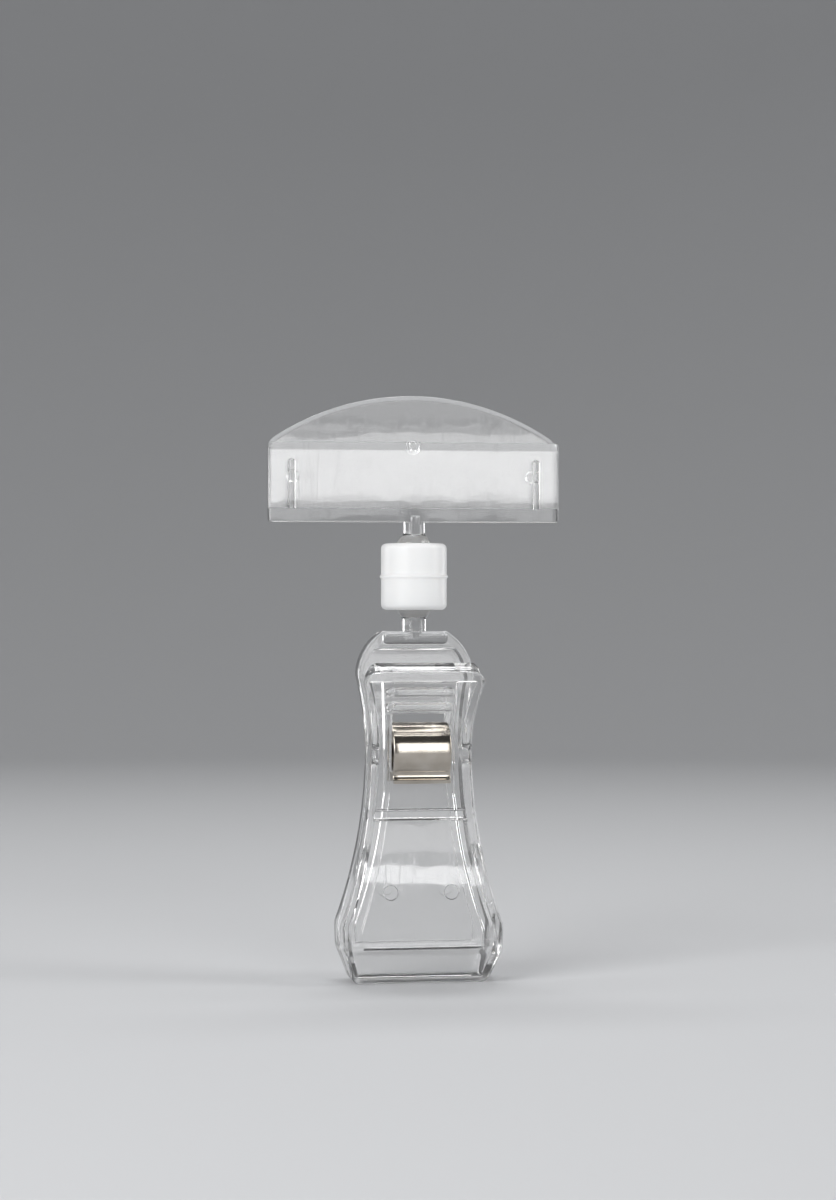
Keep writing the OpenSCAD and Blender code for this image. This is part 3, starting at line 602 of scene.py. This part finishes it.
def ring_mesh(name, outline, centre, count=128):
    """Closed outline of radius and height carried round an upright axis."""
    angle = np.linspace(0, 2 * np.pi, count, endpoint=False)
    x = centre[0] + outline[None, :, 0] * np.cos(angle)[:, None]
    y = centre[1] + outline[None, :, 0] * np.sin(angle)[:, None]
    z = centre[2] + outline[None, :, 1] + 0 * x
    points = np.stack([x, y, z], axis=-1)
    index = np.arange(x.size).reshape(x.shape)
    ahead, along = np.roll(index, -1, axis=0), np.roll(index, -1, axis=1)
    quads = np.stack([index, ahead, np.roll(ahead, -1, axis=1), along], axis=-1).reshape(-1, 4)
    return put_mesh(name, points.reshape(-1, 3), [quads])


# White polypropylene, moulded with a satin skin: an even white, with a little light carried inside
# that softens its shading.
PP_WHITE, PP_IOR = "#F5F5F4", 1.49
SKIN_MM, SKIN_HEIGHT, PATCH_MM = 0.3, 0.02, 4.0
white_plastic, tree = finish_named("white_moulded_polypropylene")
place = add(tree, "ShaderNodeTexCoord").outputs["Object"]
skin = add(tree, "ShaderNodeTexNoise", {"Vector": place, "Scale": MM / SKIN_MM, "Detail": 3.0})
patch = add(tree, "ShaderNodeTexNoise", {"Vector": place, "Scale": MM / PATCH_MM, "Detail": 2.0})
satin = add(tree, "ShaderNodeMapRange", {"Value": patch.outputs["Fac"], "From Min": 0.3, "From Max": 0.7,
                                         "To Min": 0.3, "To Max": 0.42})
fine = add(tree, "ShaderNodeBump", {
    "Height": skin.outputs["Fac"], "Strength": 0.15, "Distance": SKIN_HEIGHT / MM})
shade = add(tree, "ShaderNodeBsdfPrincipled", {
    "Base Color": linear(PP_WHITE), "Roughness": satin.outputs["Result"], "IOR": PP_IOR,
    "Subsurface Weight": 0.8, "Subsurface Radius": (1.0, 0.97, 0.94), "Subsurface Scale": 0.004,
    "Normal": fine.outputs["Normal"]})
add(tree, "ShaderNodeOutputMaterial", {"Surface": shade.outputs["BSDF"]})

sleeve = ring_mesh("white_ball_sleeve", sleeve_profile(), (0, STEM_Y, SLEEVE_Z + SLEEVE_H / 2))
smooth(sleeve)
sleeve.data.materials.append(white_plastic)
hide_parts("ball_sleeve")
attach(sleeve, "neck")


# Sign head
# Clear moulded head: a bar with a short front leaf and an arched back leaf, a narrow slot between
# them for the card, two grip ridges in the slot, and a ribbed stem with the upper ball below.
HEAD_W, BAR_Z, BAR_H, LEAF_T, SLOT_W = 52.0, 81.0, 2.4, 1.3, 0.9
FRONT_LEAF_H, LEAD_IN, LEAD_DEPTH, SHOULDER_H, ARCH_H, ARCH_BEVEL = 14.2, 1.3, 0.4, 14.4, 8.18, 0.8
UPPER_BALL_Z, UPPER_STEM_D, RIB_W, RIB_OUT, RIB_FOOT, RIB_R = 76.0, 3.9, 1.5, 0.25, 2.2, 0.2
RIDGE_X, RIDGE_D, RIDGE_OUT, RIDGE_H, RIDGE_ROOT = 22.0, 1.5, 0.45, 8.9, 0.8
HEAD_EDGE, HEAD_CORNER, SHOULDER_R, SHOULDER_FALL = 0.22, 0.6, 1.2, 0.75
GATE_Z, HEAD_PIN_X, HEAD_PIN_Z, MARK_ROOT = 94.4, 21.6, 89.2, 0.5


def soft_corners(points, radius, count=4):
    """Outline with every corner cut short by the radius and bridged by a small parabola; works on
    a whole stack of outlines at once."""
    before, after = np.roll(points, 1, axis=1) - points, np.roll(points, -1, axis=1) - points
    before = before / np.linalg.norm(before, axis=-1, keepdims=True)
    after = after / np.linalg.norm(after, axis=-1, keepdims=True)
    t = np.linspace(0, 1, count)[None, None, :, None]
    start = (points + before * radius[..., None])[:, :, None]
    end = (points + after * radius[..., None])[:, :, None]
    bridge = (1 - t) ** 2 * start + 2 * t * (1 - t) * points[:, :, None] + t ** 2 * end
    return bridge.reshape(len(points), -1, 2)


def head_mesh(name):
    """The bar and both leaves: a U-shaped outline in depth and height, carried along the width; the
    back leaf's height follows the arch, and the ends and corners are rounded."""
    half = HEAD_W / 2
    round_end, shoulder_end = 0.3, 1.6
    near = half - np.concatenate([HEAD_EDGE * (1 - np.cos(np.linspace(0, np.pi / 2, 5))),
                                  np.linspace(round_end, SHOULDER_R, 8),
                                  np.linspace(shoulder_end, half, 26)])
    x = np.concatenate([-near, near[-2::-1]])
    end = half - np.abs(x)
    arch_r = arc_radius(half, ARCH_H)
    arch = BAR_Z + SHOULDER_H + ARCH_H - arch_r + np.sqrt(arch_r ** 2 - np.minimum(np.abs(x), half) ** 2)
    arch = arch - SHOULDER_FALL * round_over(end, SHOULDER_R)
    inset = round_over(end, HEAD_EDGE)
    corner = round_over(end, HEAD_CORNER)
    foot, leaf_top = BAR_Z + corner, BAR_Z + FRONT_LEAF_H - corner
    out, slot = SLOT_W / 2 + LEAF_T - inset, SLOT_W / 2 + inset
    flat = 0 * x
    outline = np.stack([
        np.stack([-out, foot], -1), np.stack([out, foot], -1),
        np.stack([out, arch - inset], -1), np.stack([slot + LEAF_T / 2 - inset, arch - inset], -1),
        np.stack([slot, arch - ARCH_BEVEL - inset], -1), np.stack([slot, flat + BAR_Z + BAR_H], -1),
        np.stack([-slot, flat + BAR_Z + BAR_H], -1), np.stack([-slot, leaf_top - LEAD_IN - inset], -1),
        np.stack([-slot - LEAD_DEPTH, leaf_top - inset], -1), np.stack([-out, leaf_top - inset], -1),
    ], axis=1)
    corner_r = np.array([0.25, 0.25, 0.18, 0.12, 0.18, 0.2, 0.2, 0.05, 0.15, 0.2])
    outline = soft_corners(outline, corner_r[None] + 0 * x[:, None])
    across = np.broadcast_to(x[:, None, None], outline.shape[:2] + (1,))
    points = np.concatenate([across, outline + [STEM_Y, 0]], -1)
    index = np.arange(points.shape[0] * points.shape[1]).reshape(points.shape[:2])
    turned = np.roll(index, -1, axis=1)
    body = np.stack([index[:-1], turned[:-1], turned[1:], index[1:]], axis=-1).reshape(-1, 4)
    return put_mesh(name, points.reshape(-1, 3), [body, index[0][None, ::-1], index[-1][None]])


head = head_mesh("clear_sign_head")
stem_r, stem_z = ball_profile(UPPER_STEM_D, BAR_Z + BAR_H / 2, UPPER_BALL_Z, False)
ball_stem = turned_mesh("upper_ball_stem", stem_r, stem_z, np.array([0, STEM_Y, 0]))
rib_front = STEM_Y - UPPER_STEM_D / 2 - RIB_OUT
rib = slab_mesh("stem_rib", (-RIB_W / 2, rib_front, UPPER_BALL_Z + RIB_FOOT),
                (RIB_W / 2, STEM_Y, BAR_Z + BAR_H / 2), RIB_R)
ridge_r, ridge_foot = RIDGE_D / 2, BAR_Z + BAR_H
ridge_y = STEM_Y - SLOT_W / 2 - ridge_r + RIDGE_OUT
cap = np.linspace(0, np.pi / 2, 7)
profile_r = np.concatenate([[0, ridge_r], ridge_r * np.cos(cap[1:])])
profile_r[-1] = 0
profile_z = np.concatenate([[-RIDGE_ROOT, -RIDGE_ROOT], RIDGE_H - ridge_r + ridge_r * np.sin(cap[1:])])
profile_z = profile_z + ridge_foot
ridges = [turned_mesh("grip_ridge", profile_r, profile_z, np.array([x, ridge_y, 0]), 32)
          for x in (-RIDGE_X, RIDGE_X)]
leaf_back = STEM_Y + SLOT_W / 2 + LEAF_T
gate_r = np.array([0.0, 0.55, 0.72, 1.08, 1.28, 1.28, 0.0])
gate_y = leaf_back + np.array([0.04, 0.04, 0.24, 0.24, 0.0, -MARK_ROOT, -MARK_ROOT])
marks = [turned_mesh("gate_mark", gate_r, gate_y, np.array([0.0, GATE_Z, 0.0]), 48, upright=False)]
pin_r = np.array([0.0, 0.9, 1.2, 1.2, 0.0])
pin_y = leaf_back + np.array([0.28, 0.28, 0.0, -MARK_ROOT, -MARK_ROOT])
for x in (-HEAD_PIN_X, HEAD_PIN_X):
    place = np.array([x, HEAD_PIN_Z, 0.0])
    marks.append(turned_mesh("pin_mark", pin_r, pin_y, place, 48, upright=False))
fuse(head, ball_stem, rib, *ridges, *marks)
smooth(head)
head.data.materials.clear()
head.data.materials.append(clear_plastic)
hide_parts("sign_head")
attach(head, "head")


# Stage
# A seamless sweep of pale matt paper, on which the clip stands on its jaw tips: a flat floor, a
# wide curve and a low wall, turned all round outside the lamps, so that every side has one.
FLOOR_R, SWEEP_R, SWEEP_BEND, SWEEP_TOP = 300.0, 1200.0, 500.0, 800.0
PAPER, FIBRE_MM = "#C6C7C9", 60.0
bend = np.linspace(0, np.pi / 2, 24)
turn = np.linspace(0, 2 * np.pi, 96, endpoint=False)[None]
path_r = np.concatenate([[FLOOR_R], SWEEP_R - SWEEP_BEND + SWEEP_BEND * np.sin(bend), [SWEEP_R]])
path_z = np.concatenate([[0.0], SWEEP_BEND - SWEEP_BEND * np.cos(bend), [SWEEP_TOP]])
path_r, path_z = path_r[:, None], path_z[:, None]
points = np.stack([path_r * np.cos(turn), path_r * np.sin(turn), path_z + 0 * turn], -1)
index = np.arange(points.shape[0] * points.shape[1]).reshape(points.shape[:2])
ahead = np.roll(index, -1, axis=1)
quads = np.stack([index[:-1], index[1:], ahead[1:], ahead[:-1]], -1).reshape(-1, 4)
mesh = bpy.data.meshes.new("paper_sweep")
mesh.from_pydata((points.reshape(-1, 3) * 0.001).tolist(), [], quads.tolist() + [index[0].tolist()])
mesh.polygons.foreach_set("use_smooth", np.ones(len(mesh.polygons), dtype=bool))
sweep = bpy.data.objects.new("paper_sweep", mesh)
bpy.context.scene.collection.objects.link(sweep)
# Matt studio paper: no shine, with a soft change in its nap that is drawn far wider than real fibres.
paper, tree = finish_named("matt_paper_sweep")
place = add(tree, "ShaderNodeTexCoord").outputs["Object"]
fibre = add(tree, "ShaderNodeTexNoise", {"Vector": place, "Scale": MM / FIBRE_MM, "Detail": 2.0})
rough = add(tree, "ShaderNodeMapRange", {"Value": fibre.outputs["Fac"], "To Min": 0.8, "To Max": 0.9})
shade = add(tree, "ShaderNodeBsdfPrincipled", {
    "Base Color": linear(PAPER), "Roughness": rough.outputs["Result"], "Specular IOR Level": 0.1})
add(tree, "ShaderNodeOutputMaterial", {"Surface": shade.outputs["BSDF"]})
mesh.materials.append(paper)


# Light and camera
# Soft boxes in front, left, right, behind and above, with strips at the sides that only shiny and
# clear surfaces show, a dim room round them, and a level camera a little to the left.
ROOM_GREY, ROOM_LEVEL = "#9A9A9A", 0.2
world = bpy.data.worlds.new("studio_room")
world.use_nodes = True
world.node_tree.nodes.clear()
room = add(world.node_tree, "ShaderNodeBackground", {"Color": linear(ROOM_GREY), "Strength": ROOM_LEVEL})
add(world.node_tree, "ShaderNodeOutputWorld", {"Surface": room.outputs["Background"]})
bpy.context.scene.world = world
TARGET_Z = 67.2


def soft_box(name, azimuth, elevation, distance, width, height, power, lights_matt=True):
    """Area lamp that looks at the object's middle from this direction in degrees, and doesn't show in
    a view; one that lights no matt surface shows in shine and in clear plastic alone. Its distance
    and size are in millimetres and its power is in watts."""
    lamp = bpy.data.lights.new(name, "AREA")
    lamp.shape, lamp.size, lamp.size_y, lamp.energy = "RECTANGLE", width / MM, height / MM, power
    a, e = math.radians(azimuth), math.radians(elevation)
    aim = np.array([math.sin(a) * math.cos(e), -math.cos(a) * math.cos(e), math.sin(e)])
    box = bpy.data.objects.new(name, lamp)
    box.location = aim * distance / MM + [0, 0, TARGET_Z / MM]
    box.rotation_euler = (math.pi / 2 - e, 0, a)
    box.visible_camera = False
    box.visible_diffuse = lights_matt
    bpy.context.scene.collection.objects.link(box)


soft_box("leaf_box", 12, 4.35, 800, 300, 34, 0.11)
soft_box("panel_box", 12, -0.4, 800, 300, 9, 0.034)
soft_box("low_box", 12, -1.8, 800, 300, 16, 0.018)
soft_box("spring_box", 12, 21, 800, 300, 360, 1.0)
soft_box("left_box", -48, 32, 700, 420, 480, 3.3)
soft_box("left_shine_box", -48, 10, 700, 420, 240, 1.2, lights_matt=False)
soft_box("right_box", 72, 30, 700, 220, 440, 1.5)
soft_box("right_shine_box", 72, 8, 700, 220, 300, 0.8, lights_matt=False)
soft_box("back_box", 180, 62, 800, 600, 160, 2.0)
soft_box("arch_box", 12, 7.2, 800, 300, 40, 0.05)
soft_box("top_box", 0, 100, 800, 500, 160, 1.6)
soft_box("left_edge_box", -118, 8, 800, 160, 600, 1.3, lights_matt=False)
soft_box("right_edge_box", 118, 8, 800, 160, 600, 1.3, lights_matt=False)

LENS, SENSOR, VIEW_AZIMUTH, VIEW_DISTANCE = 85.0, 36.0, -9.5, 500.0
view = bpy.data.cameras.new("photo_camera")
view.lens, view.sensor_fit, view.sensor_height = LENS, "VERTICAL", SENSOR
view.clip_start, view.clip_end = 0.01, 20.0
camera = bpy.data.objects.new("photo_camera", view)
turn, away = math.radians(VIEW_AZIMUTH), VIEW_DISTANCE / MM
camera.location = (math.sin(turn) * away, -math.cos(turn) * away, TARGET_Z / MM)
camera.rotation_euler = (math.pi / 2, 0, turn)
bpy.context.scene.collection.objects.link(camera)
bpy.context.scene.camera = camera
bpy.context.scene.view_settings.view_transform = "Standard"
